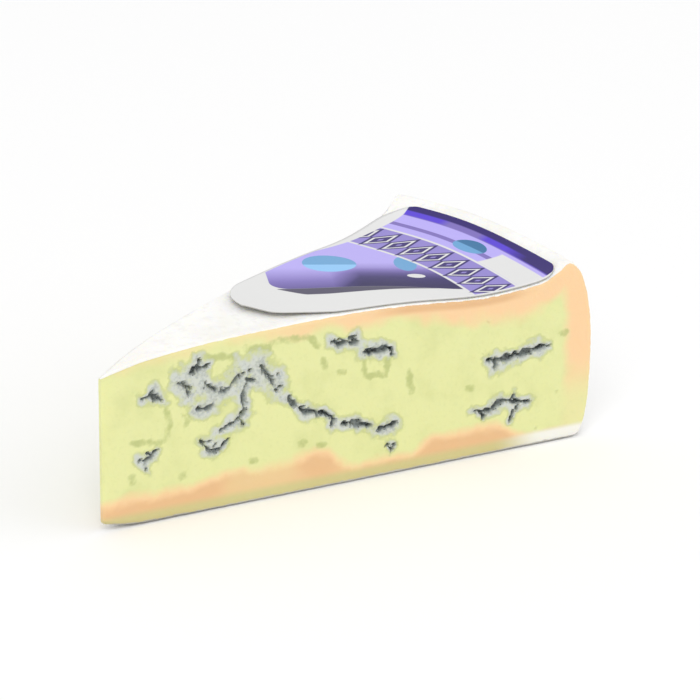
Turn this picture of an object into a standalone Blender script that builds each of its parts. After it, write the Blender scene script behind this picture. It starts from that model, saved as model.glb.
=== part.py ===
"""A wedge of soft-ripened blue cheese, cut from a flat round wheel, with its paper label on top.

Blender 4.5 script: blender --background --python part.py
Metres, +Z up. The wedge lies on its flat underside, tip at -X, rim at +X, and the origin is
under the middle of it. A section of the wheel is turned about the wheel's axis, which passes
through the tip; the mould's crevices are then cut into both knife-cut faces.
"""

import math
import random

import bmesh
import bpy
from mathutils import Vector

MM = 0.001

# The wheel, and the slice taken from it
WHEEL_RADIUS = 130 * MM
WEDGE_ANGLE = math.radians(29)
HALF_ANGLE = WEDGE_ANGLE / 2
TIP_RADIUS = 1.6 * MM  # the knife leaves the tip blunt by about a millimetre
AXIS_X = -(WHEEL_RADIUS + TIP_RADIUS) / 2  # puts the origin under the middle of the wedge

# Height of the rind's upper side, at distances from the wheel's axis, before the rim is
# rounded. It sags at the tip, is a little dished and turns up into a lip at the rim.
TOP_LINE = [
    (0 * MM, 38.0 * MM),
    (13 * MM, 40.8 * MM),
    (36 * MM, 43.0 * MM),
    (56 * MM, 43.2 * MM),
    (80 * MM, 42.4 * MM),
    (98 * MM, 41.2 * MM),
    (110 * MM, 41.5 * MM),
    (117 * MM, 42.3 * MM),
    (121 * MM, 44.4 * MM),
    (125 * MM, 47.2 * MM),
    (130 * MM, 47.8 * MM),
]
TIP_UNDERCUT = 2.0 * MM  # how far the underside is raised at the very tip
TIP_UNDERCUT_LENGTH = 14 * MM
RIM_ROUNDINGS = (5 * MM, 9.5 * MM)  # how far the rim is rounded in, below and above
RIM_SQUARENESSES = (3.0, 2.2)  # exponents of the rim's section, below and above
RIND_WAVE = 0.35 * MM  # low unevenness of the upper rind
RIM_WAVE = 0.3 * MM  # the same round the rim, fading out towards the tip
RIM_WAVE_LENGTH = 48 * MM  # along the rim
RIM_WAVE_RISE = 120 * MM  # up the rim
RIM_WAVE_START = 0.75  # the share of a wave at the foot of the middle of the rim
RIM_ZONE = 13 * MM

# The paper label, a sector of a ring that stops short of the tip; pairs are for its sides
# towards the near cut (-1) and the far one (1)
LABEL_INNER_RADIUS = 44.6 * MM
LABEL_OUTER_RADIUS = 120.5 * MM
LABEL_EDGES = {  # distance from the wheel's axis, then from the knife cut
    -1: [
        (44.6 * MM, 12.6 * MM),
        (45.2 * MM, 11.2 * MM),
        (46.0 * MM, 9.2 * MM),
        (46.9 * MM, 7.0 * MM),
        (48 * MM, 5.3 * MM),
        (50 * MM, 4.1 * MM),
        (54 * MM, 2.8 * MM),
        (58 * MM, 1.5 * MM),
        (63 * MM, 0.5 * MM),
        (80 * MM, 0.4 * MM),
    ],
    1: [
        (44.6 * MM, 9.5 * MM),
        (45.1 * MM, 7.4 * MM),
        (46.1 * MM, 5.3 * MM),
        (48.4 * MM, 3.2 * MM),
        (51.4 * MM, 1.6 * MM),
        (55 * MM, 0.9 * MM),
        (80 * MM, 0.9 * MM),
    ],
}
LABEL_RIM_CORNERS = {-1: 3.5 * MM, 1: 8 * MM}
LABEL_THICKNESS = 0.25 * MM
LABEL_GAP = 0.3 * MM  # clearance over the rind
NOSE_LIFT = 1.1 * MM  # how much higher the label's inner end stands off the rind
NOSE_LIFT_FROM = 68 * MM
NOSE_LIFT_POWER = 2

# Mould crevices of the near cut face: width, then points as (distance from axis, height)
NEAR_CREVICES = {
    "tip_upper": (2.2, [(12, 31.2), (14.7, 31.3), (17.5, 29.4)]),
    "tip_lower": (1.6, [(11, 16), (13, 16), (15.5, 18)]),
    "cluster_spot": (2.6, [(23.5, 35.5), (26, 36), (28.5, 36.5)]),
    "cluster_hook": (1.6, [(27.5, 33), (29, 31), (31, 29.8), (33.5, 29.5), (36, 32), (39, 33.5)]),
    "cluster_left": (1.8, [(21, 33.5), (23.5, 32), (24.5, 30.5)]),
    "cluster_low": (1.6, [(24.5, 26), (29, 26), (29.7, 28)]),
    "trunk": (1.8, [(41, 30.8), (38.5, 30.3), (37.5, 27.5), (37.5, 23), (35, 21), (31, 19.5)]),
    "foot": (1.6, [(26.5, 18), (28.5, 15.5), (31, 14.7), (33.5, 17)]),
    "stem_top": (2.2, [(42, 34), (44, 31), (46, 26.8)]),
    "stem": (1.9, [(47.5, 25), (50, 23.3), (53, 20.5), (58, 19), (61.5, 16.6)]),
    "stem_middle": (2.9, [(63, 15.4), (67, 14.6), (70.5, 13.4)]),
    "stem_end": (2.7, [(72.5, 12), (77, 12.8)]),
    "stem_drop": (2.0, [(75, 7.7), (77.2, 7.2)]),
    "upper_left": (2.8, [(60, 36.8), (63, 35.8), (66, 37)]),
    "upper_right": (2.6, [(68.4, 32.5), (72, 32.2), (75.8, 32.4)]),
    "far_long": (2.4, [(101, 24.4), (105.5, 24), (110.3, 24.4), (114.5, 25), (118.5, 25.3)]),
    "far_fork": (1.9, [(97.5, 12), (102, 11.3), (104, 12.5), (106.5, 13), (109, 12.3), (113, 11.7)]),
    "far_fork_leg": (1.6, [(109.8, 11), (108.5, 9.5), (107.8, 7.3)]),
}
FAR_CREVICE_COUNT = 16
FAR_CREVICE_SEED = 23
FAR_CREVICE_STRIDES = (1, 2, 2, 3, 4, 6)  # how many strides a crack takes, drawn from these
FAR_CREVICE_STARTS = ((13, 117), (8, 34))  # distances and heights they start at, in millimetres
FAR_CREVICE_REACH = 124  # how far from the axis they go, in millimetres
FAR_CREVICE_HEIGHTS = (5, 35)  # lowest and highest, in millimetres
GOLDEN_SHARE = 0.618  # steps by this share spread the heights evenly

RING_STEPS = 18  # facets of the slice round the wheel's axis
TOP_STEPS = 32
RIM_STEPS = 24
LABEL_STEPS = (40, 14)
CREVICE_STEP = 1.6 * MM
WELD_DISTANCE = 0.01 * MM
SHARP_ANGLE = math.radians(35)

COLOURS = {  # linear red, green, blue and roughness
    "cheese": ((0.80, 0.76, 0.42), 0.55),
    "paper": ((0.20, 0.17, 0.55), 0.35),
}


def clear_scene():
    for thing in list(bpy.data.objects):
        bpy.data.objects.remove(thing, do_unlink=True)


def new_collection(name, hidden=False):
    group = bpy.data.collections.new(name)
    group.hide_render = hidden
    bpy.context.scene.collection.children.link(group)
    return group


def new_object(name, mesh, group):
    made = bpy.data.objects.new(name, mesh)
    group.objects.link(made)
    return made


def finish(name):
    """A plain Principled material."""
    colour, roughness = COLOURS[name]
    material = bpy.data.materials.new(name)
    material.use_nodes = True
    shader = material.node_tree.nodes["Principled BSDF"]
    shader.inputs["Base Color"].default_value = (*colour, 1)
    shader.inputs["Roughness"].default_value = roughness
    shader.inputs["Metallic"].default_value = 0
    return material


def along(points, x):
    """The smooth line through points, a list of (x, y), read at x."""
    last = len(points) - 1
    i = 0
    while i < last - 1 and x > points[i + 1][0]:
        i += 1
    (x0, y0), (x1, y1) = points[i], points[i + 1]

    def slope(k):
        a, b = points[max(k - 1, 0)], points[min(k + 1, last)]
        return (b[1] - a[1]) / (b[0] - a[0])

    span = x1 - x0
    t = min(max((x - x0) / span, 0), 1)
    rise = (3 - 2 * t) * t * t
    start, end = slope(i) * span * t * (1 - t) ** 2, slope(i + 1) * span * t * t * (t - 1)
    return y0 + (y1 - y0) * rise + start + end


def rind_wave(x, y):
    """Low unevenness of the upper rind, from -1 to 1, at a place in millimetres."""
    u, v = x / MM, y / MM
    return (math.sin(u / 9 + 0.6 * math.sin(v / 13)) + math.sin(v / 7 - u / 17 + 1.3)) / 2


def underside(radius):
    t = max(1 - radius / TIP_UNDERCUT_LENGTH, 0)
    return TIP_UNDERCUT * t * t


def rim_radius(share):
    """The rim's radius at a share of the wheel's height, from 0 below to 1 above."""
    upper = share > 0.5
    power = RIM_SQUARENESSES[upper]
    t = abs(2 * share - 1)
    return WHEEL_RADIUS - RIM_ROUNDINGS[upper] * (1 - (1 - t**power) ** (1 / power))


def wheel_section():
    """The closed outline that is turned, as (radius, height), out along the top and back below."""
    top_end = rim_radius(1)
    radii = [TIP_RADIUS + (top_end - TIP_RADIUS) * i / TOP_STEPS for i in range(TOP_STEPS + 1)]
    outline = [(r, along(TOP_LINE, r)) for r in radii]
    for i in range(1, RIM_STEPS):
        share = (1 + math.cos(math.pi * i / RIM_STEPS)) / 2
        radius = rim_radius(share)
        low, high = underside(radius), along(TOP_LINE, radius)
        outline.append((radius, low + (high - low) * share))
    foot = rim_radius(0)
    for radius in (foot, 90 * MM, 50 * MM, TIP_UNDERCUT_LENGTH, 9 * MM, 5 * MM, TIP_RADIUS):
        outline.append((radius, underside(radius)))
    return outline


def uneven(place):
    """Moves a point of the turned slice in or out and up or down, within its own half-plane."""
    x, y, z = place
    radius, turn = math.hypot(x, y), math.atan2(y, x)
    share = min(z / along(TOP_LINE, radius), 1)
    up = RIND_WAVE * rind_wave(x, y) * max(2 * share - 1, 0)
    phase = turn * WHEEL_RADIUS / RIM_WAVE_LENGTH + z / RIM_WAVE_RISE + RIM_WAVE_START
    swell = math.sin(math.tau * phase) * math.sin(math.pi * share)
    in_zone = max(radius - WHEEL_RADIUS + RIM_ZONE, 0) / RIM_ZONE
    radius -= RIM_WAVE * in_zone * (1 - swell)
    return Vector((radius * math.cos(turn), radius * math.sin(turn), z + up))


def cheese_slice(group):
    """The slice: its section turned by the wedge's angle, with both knife cuts closed."""
    section = wheel_section()
    mesh = bpy.data.meshes.new("wheel_section")
    ring = [(i, (i + 1) % len(section)) for i in range(len(section))]
    mesh.from_pydata([(r, 0, z) for r, z in section], ring, [])
    outline = new_object("wheel_section", mesh, group)
    screw = outline.modifiers.new("turn", "SCREW")
    screw.axis = "Z"
    screw.angle = WEDGE_ANGLE
    screw.steps = screw.render_steps = RING_STEPS
    screw.use_merge_vertices = False
    graph = bpy.context.evaluated_depsgraph_get()
    turned = bpy.data.meshes.new_from_object(outline.evaluated_get(graph))
    bpy.data.objects.remove(outline, do_unlink=True)

    shape = bmesh.new()
    shape.from_mesh(turned)
    for vert in shape.verts:
        turn = math.atan2(vert.co.y, vert.co.x) - HALF_ANGLE
        radius = math.hypot(vert.co.x, vert.co.y)
        vert.co = uneven((radius * math.cos(turn), radius * math.sin(turn), vert.co.z))
        vert.co.x += AXIS_X
    bmesh.ops.holes_fill(shape, edges=shape.edges, sides=0)
    bmesh.ops.recalc_face_normals(shape, faces=shape.faces)
    shape.to_mesh(turned)
    shape.free()
    wedge = new_object("cheese_wedge", turned, group)
    turned.name = "cheese_wedge"
    turned.materials.clear()
    turned.materials.append(finish("cheese"))
    return wedge


def face_point(side, distance, height):
    """A point of a knife-cut face; side is -1 for the near face and 1 for the far one."""
    return Vector(
        (AXIS_X + distance * math.cos(HALF_ANGLE), side * distance * math.sin(HALF_ANGLE), height)
    )


def smooth_path(points, step):
    """Points a step apart on the smooth curve through the given ones, and their shares along it."""
    knots = [Vector(p) for p in points]
    knots = [2 * knots[0] - knots[1], *knots, 2 * knots[-1] - knots[-2]]
    path = []
    for a, b, c, d in zip(knots, knots[1:], knots[2:], knots[3:]):
        pieces = max(round((c - b).length / step), 1)
        for k in range(pieces):
            t = k / pieces
            path.append(
                (b * 2 + (c - a) * t + (a * 2 - b * 5 + c * 4 - d) * t**2
                 + (b * 3 - a - c * 3 + d) * t**3) / 2
            )
    path.append(knots[-2])
    return path


def crevice_cutter(name, side, width, points, group):
    """A tube of uneven width along a crack's line, half of it inside the face."""
    path = smooth_path([Vector((d * MM, h * MM)) for d, h in points], CREVICE_STEP)
    chance = random.Random(name)
    curve = bpy.data.curves.new(name, "CURVE")
    curve.dimensions = "3D"
    curve.bevel_depth = width * MM / 2
    curve.bevel_resolution = 1
    curve.use_fill_caps = True
    spline = curve.splines.new("POLY")
    spline.points.add(len(path) - 1)
    for i, (distance, height) in enumerate(path):
        spline.points[i].co = (*face_point(side, distance, height), 1)
        taper = math.sin(math.pi * (i + 0.35) / (len(path) - 0.3)) ** 0.6
        spline.points[i].radius = taper * chance.uniform(0.75, 1.1)
    tube = new_object(name, curve, group)
    graph = bpy.context.evaluated_depsgraph_get()
    mesh = bpy.data.meshes.new_from_object(tube.evaluated_get(graph))
    bpy.data.objects.remove(tube, do_unlink=True)
    shape = bmesh.new()
    shape.from_mesh(mesh)
    bmesh.ops.remove_doubles(shape, verts=shape.verts, dist=WELD_DISTANCE)
    bmesh.ops.recalc_face_normals(shape, faces=shape.faces)
    shape.to_mesh(mesh)
    shape.free()
    cutter = new_object(name, mesh, group)
    cutter.hide_render = True
    cutter.display_type = "WIRE"
    return cutter


def far_crevices():
    """Crevices of the far face: wandering cracks spread along it, some long and most short."""
    chance = random.Random(FAR_CREVICE_SEED)
    lowest, highest = FAR_CREVICE_HEIGHTS
    (first, last), (low, high) = FAR_CREVICE_STARTS
    cracks = {}
    for k in range(FAR_CREVICE_COUNT):
        distance = first + (last - first) * (k + chance.uniform(0, 0.8)) / FAR_CREVICE_COUNT
        height = low + (high - low) * (k * GOLDEN_SHARE % 1) + chance.uniform(-1.5, 1.5)
        heading = chance.uniform(-0.8, 0.8)
        width = chance.uniform(1.2, 2.4)
        points = [(distance, height)]
        for _ in range(chance.choice(FAR_CREVICE_STRIDES)):
            stride = chance.uniform(1.4, 3.4)
            distance += stride * math.cos(heading)
            height += stride * math.sin(heading)
            heading = 0.6 * heading + chance.uniform(-0.8, 0.8)
            points.append((min(distance, FAR_CREVICE_REACH), min(max(height, lowest), highest)))
        cracks[f"far_{k:02d}"] = (width, points)
    return cracks


def cut_crevices(wedge):
    cutters = new_collection("crevice_cutters", hidden=True)
    for side, cracks in ((-1, NEAR_CREVICES), (1, far_crevices())):
        for name, (width, points) in cracks.items():
            crevice_cutter(f"crevice_{name}_{side + 1}", side, width, points, cutters)
    cut = wedge.modifiers.new("crevices", "BOOLEAN")
    cut.operation = "DIFFERENCE"
    cut.solver = "EXACT"
    cut.operand_type = "COLLECTION"
    cut.collection = cutters


def label_edge(radius, side):
    """The angle of the label's edge from the wedge's middle line, its outer corners rounded."""
    width = radius * math.sin(HALF_ANGLE) - along(LABEL_EDGES[side], radius)
    corner, t = LABEL_RIM_CORNERS[side], LABEL_OUTER_RADIUS - radius
    if t < corner:
        width += math.sqrt(max(corner**2 - (corner - t) ** 2, 0)) - corner
    return side * math.asin(width / radius)


def paper_label(group):
    """The label: a flat grid bent over the rind, its inner end lifting, then made solid."""
    columns, rows = LABEL_STEPS
    shape = bmesh.new()
    bmesh.ops.create_grid(shape, x_segments=columns, y_segments=rows, size=1)
    for vert in shape.verts:
        share = (1 - math.cos(math.pi * (vert.co.x + 1) / 2)) / 2
        radius = LABEL_INNER_RADIUS + (LABEL_OUTER_RADIUS - LABEL_INNER_RADIUS) * share
        near, far = label_edge(radius, -1), label_edge(radius, 1)
        turn = near + (far - near) * (vert.co.y + 1) / 2
        x, y = radius * math.cos(turn), radius * math.sin(turn)
        lift = max((NOSE_LIFT_FROM - radius) / (NOSE_LIFT_FROM - LABEL_INNER_RADIUS), 0)
        height = along(TOP_LINE, radius) + RIND_WAVE * rind_wave(x, y)
        height += LABEL_GAP + NOSE_LIFT * lift**NOSE_LIFT_POWER
        vert.co = (x + AXIS_X, y, height)
    mesh = bpy.data.meshes.new("paper_label")
    shape.to_mesh(mesh)
    shape.free()
    label = new_object("paper_label", mesh, group)
    mesh.materials.append(finish("paper"))
    solid = label.modifiers.new("paper", "SOLIDIFY")
    solid.thickness = LABEL_THICKNESS
    solid.offset = 1
    return label


def main():
    clear_scene()
    group = new_collection("blue_cheese_wedge")
    wedge = cheese_slice(group)
    cut_crevices(wedge)
    label = paper_label(group)
    for thing in (wedge, label):
        thing.data.shade_smooth()
        thing.data.set_sharp_from_angle(angle=SHARP_ANGLE)


main()
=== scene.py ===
import math
import random
from functools import partial

import bmesh
import bpy
from mathutils import Matrix, Vector


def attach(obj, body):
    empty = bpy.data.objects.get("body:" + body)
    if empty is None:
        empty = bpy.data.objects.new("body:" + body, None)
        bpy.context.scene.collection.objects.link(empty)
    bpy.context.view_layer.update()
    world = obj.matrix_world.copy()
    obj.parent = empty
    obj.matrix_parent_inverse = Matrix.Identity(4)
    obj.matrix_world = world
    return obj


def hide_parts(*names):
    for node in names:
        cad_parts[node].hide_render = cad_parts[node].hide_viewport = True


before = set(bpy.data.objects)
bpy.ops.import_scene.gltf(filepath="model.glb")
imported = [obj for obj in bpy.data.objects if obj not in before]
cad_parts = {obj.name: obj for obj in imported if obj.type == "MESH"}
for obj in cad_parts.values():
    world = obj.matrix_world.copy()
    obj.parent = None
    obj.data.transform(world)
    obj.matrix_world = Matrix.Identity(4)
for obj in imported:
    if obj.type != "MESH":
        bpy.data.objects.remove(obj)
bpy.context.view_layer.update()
print("frame loaded:", ", ".join(sorted(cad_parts)))

# Shapes are worked out in millimetres and scaled to metres at the end of each piece.
metre = 0.001

# the kinds of node used most
maths, mapRange, noise, mix = (
    "ShaderNodeMath", "ShaderNodeMapRange", "ShaderNodeTexNoise", "ShaderNodeMix",
)


def linear(hexColour):
    values = [int(hexColour[i:i + 2], 16) / 255 for i in (1, 3, 5)]
    return [v / 12.92 if v <= 0.04045 else ((v + 0.055) / 1.055) ** 2.4 for v in values] + [1]


def addNode(tree, kind, inputs=(), out=0, **settings):
    # inputs come in order, or by name or number in a dictionary; a socket among them is linked
    made = tree.nodes.new(kind)
    for name, value in settings.items():
        setattr(made, name, value)
    for key, value in inputs.items() if isinstance(inputs, dict) else enumerate(inputs):
        if isinstance(value, bpy.types.NodeSocket):
            tree.links.new(value, made.inputs[key])
        else:
            made.inputs[key].default_value = value
    return made.outputs[out]


def fillCurve(socket, points):
    # straight stretches through points from 0 to 1, read from a Float Curve's output socket
    mapping = socket.node.mapping
    line = mapping.curves[0]
    line.points[0].location = points[0]
    line.points[1].location = points[-1]
    for point in points[1:-1]:
        line.points.new(*point)
    for point in line.points:
        point.handle_type = "VECTOR"
    mapping.update()


def newTree(name, inputs):
    # a Geometry Nodes tree with named inputs; gives the tree, its input sockets and its output
    tree = bpy.data.node_groups.new(name, "GeometryNodeTree")
    tree.interface.new_socket("Geometry", in_out="INPUT", socket_type="NodeSocketGeometry")
    for kind, labels in inputs.items():
        for label in labels:
            tree.interface.new_socket(label, in_out="INPUT", socket_type="NodeSocket" + kind)
    tree.interface.new_socket("Geometry", in_out="OUTPUT", socket_type="NodeSocketGeometry")
    given = tree.nodes.new("NodeGroupInput").outputs
    result = tree.nodes.new("NodeGroupOutput").inputs[0]
    return tree, given, result


def runTree(name, tree, values):
    # runs the tree on an empty mesh and keeps what it makes as a plain mesh
    host = bpy.data.objects.new(name + "Host", bpy.data.meshes.new(name + "Host"))
    bpy.context.scene.collection.objects.link(host)
    modifier = host.modifiers.new("tree", "NODES")
    modifier.node_group = tree
    for item in tree.interface.items_tree:
        if item.in_out == "INPUT" and item.name in values:
            modifier[item.identifier] = values[item.name]
    graph = bpy.context.evaluated_depsgraph_get()
    mesh = bpy.data.meshes.new_from_object(host.evaluated_get(graph))
    bpy.data.objects.remove(host, do_unlink=True)
    mesh.name = name
    piece = bpy.data.objects.new(name, mesh)
    bpy.context.scene.collection.objects.link(piece)
    return piece


def newMaterial(name):
    material = bpy.data.materials.new(name)
    material.use_nodes = True
    tree = material.node_tree
    return material, tree, tree.nodes["Principled BSDF"]


# the wheel that the wedge was cut from, in millimetres
wheel = {
    "wheelRadius": 130.0,
    "sliceDegrees": 29.0,
    "tipRadius": 1.6,  # the knife leaves the tip blunt
    "topLine": [
        (0, 38), (13, 40.8), (36, 43.0), (56, 43.2), (80, 42.4), (98, 41.2), (110, 41.5),
        (117, 42.3), (121, 44.4), (125, 47.2), (130, 47.8),
    ],
    "tipUndercut": 2.0,
    "tipUndercutLength": 14.0,
    "rimRoundings": (5.0, 9.5),  # below and above
    "rimSquarenesses": (3.0, 2.2),
    "rimWave": 0.3,  # low unevenness round the rim
    "rimWaveLength": 48.0,
    "rimWaveRise": 120.0,
    "rimWaveStart": 0.75,
    "rimZone": 13.0,
    "rindWave": 0.35,  # the same on the upper rind
    "rindWaveSpans": (9.0, 13.0, 7.0, 17.0),
    "rindWaveBend": 0.6,
    "rindWaveStart": 1.3,
    "tallest": 50.0,  # the height that the tree's curves count as 1
}
halfAngle = math.radians(wheel["sliceDegrees"]) / 2
axisX = -(wheel["wheelRadius"] + wheel["tipRadius"]) / 2


def along(points, x):
    # the smooth line through points, read at x
    last = len(points) - 1
    i = 0
    while i < last - 1 and x > points[i + 1][0]:
        i += 1
    (x0, y0), (x1, y1) = points[i], points[i + 1]

    def slope(k):
        a, b = points[max(k - 1, 0)], points[min(k + 1, last)]
        return (b[1] - a[1]) / (b[0] - a[0])

    span = x1 - x0
    t = min(max((x - x0) / span, 0), 1)
    rise = (3 - 2 * t) * t * t
    start, end = slope(i) * span * t * (1 - t) ** 2, slope(i + 1) * span * t * t * (t - 1)
    return y0 + (y1 - y0) * rise + start + end


def rindWave(x, y):
    # low unevenness of the upper rind, at a place measured from the wheel's axis
    a, b, c, d = wheel["rindWaveSpans"]
    waves = math.sin(x / a + wheel["rindWaveBend"] * math.sin(y / b))
    waves += math.sin(y / c - x / d + wheel["rindWaveStart"])
    return wheel["rindWave"] * waves / 2


def rimRadius(share):
    # the rim's radius at a share of the wheel's height
    upper = share > 0.5
    power = wheel["rimSquarenesses"][upper]
    t = abs(2 * share - 1)
    inward = 1 - (1 - t**power) ** (1 / power)
    return wheel["wheelRadius"] - wheel["rimRoundings"][upper] * inward


# mould cracks of the near cut face: half width, darkness (of the mould and of the shade painted
# in its depths), reach of the grey cloud round it, and points as distance from the axis and height
nearCracks = {
    "tipUpper": (1.0, 0.7, 2.2, [(12, 31.2), (14.7, 31.3), (17.5, 29.4)]),
    "tipLower": (0.8, 0.7, 1.8, [(11, 16), (13, 16), (15.5, 18)]),
    "clusterSpot": (1.1, 0.9, 3.6, [(23.5, 35.5), (26, 36), (28.5, 36.5)]),
    "clusterHook": (0.75, 0.42, 5.4, [
        (27.5, 33), (29, 31), (31, 29.8), (33.5, 29.5), (36, 32), (39, 33.5),
    ]),
    "clusterLeft": (0.8, 0.35, 5.2, [(21, 33.5), (23.5, 32), (24.5, 30.5)]),
    "clusterLow": (0.8, 0.6, 3.4, [(24.5, 26), (29, 26), (29.7, 28)]),
    "trunk": (0.7, 0.42, 3.2, [
        (41, 30.8), (38.5, 30.3), (37.5, 27.5), (37.5, 23), (35, 21), (31, 19.5),
    ]),
    "foot": (0.8, 0.6, 1.6, [(26.5, 18), (28.5, 15.5), (31, 14.7), (33.5, 17)]),
    "stemTop": (0.7, 0.35, 4.4, [(42, 34), (44, 31), (46, 26.8)]),
    "stem": (0.9, 0.85, 1.9, [(47.5, 25), (50, 23.3), (53, 20.5), (58, 19), (61.5, 16.6)]),
    "stemMiddle": (1.4, 0.8, 2.0, [(63, 15.4), (67, 14.6), (70.5, 13.4)]),
    "stemEnd": (1.3, 1.0, 2.6, [(72.5, 12), (77, 12.8)]),
    "stemDrop": (1.0, 1.0, 0.9, [(75, 7.7), (77.2, 7.2)]),
    "upperLeft": (1.3, 0.75, 2.4, [(60, 36.8), (63, 35.8), (66, 37)]),
    "upperRight": (1.2, 1.0, 2.8, [(68.4, 32.5), (72, 32.2), (75.8, 32.4)]),
    "farLong": (1.3, 0.95, 2.6, [
        (101, 24.4), (105.5, 24), (110.3, 24.4), (114.5, 25), (118.5, 25.3),
    ]),
    "farFork": (0.9, 0.85, 2.2, [
        (97.5, 12), (102, 11.3), (104, 12.5), (106.5, 13), (109, 12.3), (113, 11.7),
    ]),
    "farForkLeg": (0.8, 0.7, 1.3, [(109.8, 11), (108.5, 9.5), (107.8, 7.3)]),
}
# faint olive lines and spots where the mould has only begun
faintLines = [
    [(17.8, 27.5), (18.7, 23.6), (17.5, 20.1), (13.7, 20), (9.2, 20.7)],
    [(68.5, 31.1), (69, 26.9), (71.7, 26.4), (74.3, 26), (74.8, 29.9)],
    [(44.7, 39.5), (49.3, 39.2), (54.4, 38.8), (56.5, 36.3)],
    [(80.6, 25.3), (80.7, 22.7), (81.2, 20.1)],
    [(25.4, 39.2), (30, 38.4), (35.5, 37.4)], [(38, 38.9), (41, 38.7), (44, 38.2)],
    [(20.4, 36.4), (21.3, 35)], [(23.3, 25), (23, 23.2)], [(51.9, 12.6), (53, 12.4)],
    [(39.5, 10.7), (40.6, 10.5)], [(9.1, 12.4), (9.3, 10.9)], [(21.1, 10.3), (22.2, 10.2)],
    [(96.2, 18.3), (97.4, 18.2)], [(121.4, 28), (122.4, 28)], [(62.2, 28.7), (63.2, 28.5)],
    [(58.1, 32.5), (58.3, 30.5)], [(57.1, 11.1), (58.2, 11)],
]


# the rule for the far face's cracks and faint marks, in millimetres and radians; a place is a
# distance from the axis and a height
farRule = {
    "count": 16,
    "pathSeed": 23,
    "toneSeed": 8,
    "starts": ((13, 117), (8, 34)),
    "startJitter": (0.8, 1.5),  # along, as a share of the spacing, and up
    "goldenShare": 0.618,  # spreads the starting heights evenly
    "widths": (1.2, 2.4),
    "strides": (1, 2, 2, 3, 4, 6),  # how many a crack takes, drawn from these
    "strideLengths": (1.4, 3.4),
    "swerve": 0.8,
    "headingKept": 0.6,  # from one stride to the next
    "reach": 124,
    "heights": (5, 35),
    "darks": (0.5, 1),
    "clouds": (1.2, 3.2),
    "faintMarks": 14,
    "faintSeed": 5,
    "faintStarts": ((15, 122), (6, 36)),
    "faintLengths": (0.8, 4),
    "faintRise": 1.5,
}


def farCracks():
    # the far face has wandering cracks of its own, some long and most short
    rule = farRule
    chance, looks = random.Random(rule["pathSeed"]), random.Random(rule["toneSeed"])
    (first, last), (low, high) = rule["starts"]
    (startAlong, startUp), swerve = rule["startJitter"], rule["swerve"]
    lowest, highest = rule["heights"]
    cracks = {}
    for k in range(rule["count"]):
        distance = first + (last - first) * (k + chance.uniform(0, startAlong)) / rule["count"]
        height = low + (high - low) * (k * rule["goldenShare"] % 1)
        height += chance.uniform(-startUp, startUp)
        heading = chance.uniform(-swerve, swerve)
        width = chance.uniform(*rule["widths"]) / 2
        points = [(distance, height)]
        for _ in range(chance.choice(rule["strides"])):
            stride = chance.uniform(*rule["strideLengths"])
            distance += stride * math.cos(heading)
            height += stride * math.sin(heading)
            heading = rule["headingKept"] * heading + chance.uniform(-swerve, swerve)
            points.append((min(distance, rule["reach"]), min(max(height, lowest), highest)))
        dark, reach = looks.uniform(*rule["darks"]), looks.uniform(*rule["clouds"])
        cracks[f"far{k:02d}"] = (width, dark, reach, points)
    return cracks


lineStep = 0.35  # millimetres between points along a crack or a mark
# short twigs off a crack: steps before the first and between them, then turns in radians,
# lengths in millimetres, and how wide, dark and clouded they are against the crack
twigs = {
    "first": (2, 6), "every": (7, 18), "turns": (0.6, 1.3), "lengths": (0.3, 1.5), "bend": 0.7,
    "width": 0.55, "dark": 0.8, "reach": 0.8,
}
faintSizes = (0.3, 0.1, 0.9)  # half width, darkness and reach of a faint mark


def smoothPath(points):
    knots = [Vector(p) for p in points]
    knots = [2 * knots[0] - knots[1], *knots, 2 * knots[-1] - knots[-2]]
    path = []
    for a, b, c, d in zip(knots, knots[1:], knots[2:], knots[3:]):
        pieces = max(round((c - b).length / lineStep), 1)
        for k in range(pieces):
            t = k / pieces
            path.append(
                (b * 2 + (c - a) * t + (a * 2 - b * 5 + c * 4 - d) * t**2
                 + (b * 3 - a - c * 3 + d) * t**3) / 2
            )
    path.append(knots[-2])
    return path


def branched(name, halfWidth, dark, reach, points):
    # a crack's own path, then short twigs off it, each with its sizes
    chance = random.Random(name)
    path = smoothPath(points)
    yield halfWidth, dark, reach, path
    sizes = halfWidth * twigs["width"], dark * twigs["dark"], reach * twigs["reach"]
    i = chance.randint(*twigs["first"])
    while i < len(path) - 2:
        aside = Matrix.Rotation(chance.choice((-1, 1)) * chance.uniform(*twigs["turns"]), 2)
        onward = (path[i + 1] - path[i - 1]).normalized()
        stride = aside @ onward * chance.uniform(*twigs["lengths"])
        bend = Matrix.Rotation(chance.uniform(-twigs["bend"], twigs["bend"]), 2)
        twig = [path[i], path[i] + stride, path[i] + stride + bend @ stride]
        yield *sizes, smoothPath(twig)
        i += chance.randint(*twigs["every"])


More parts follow.
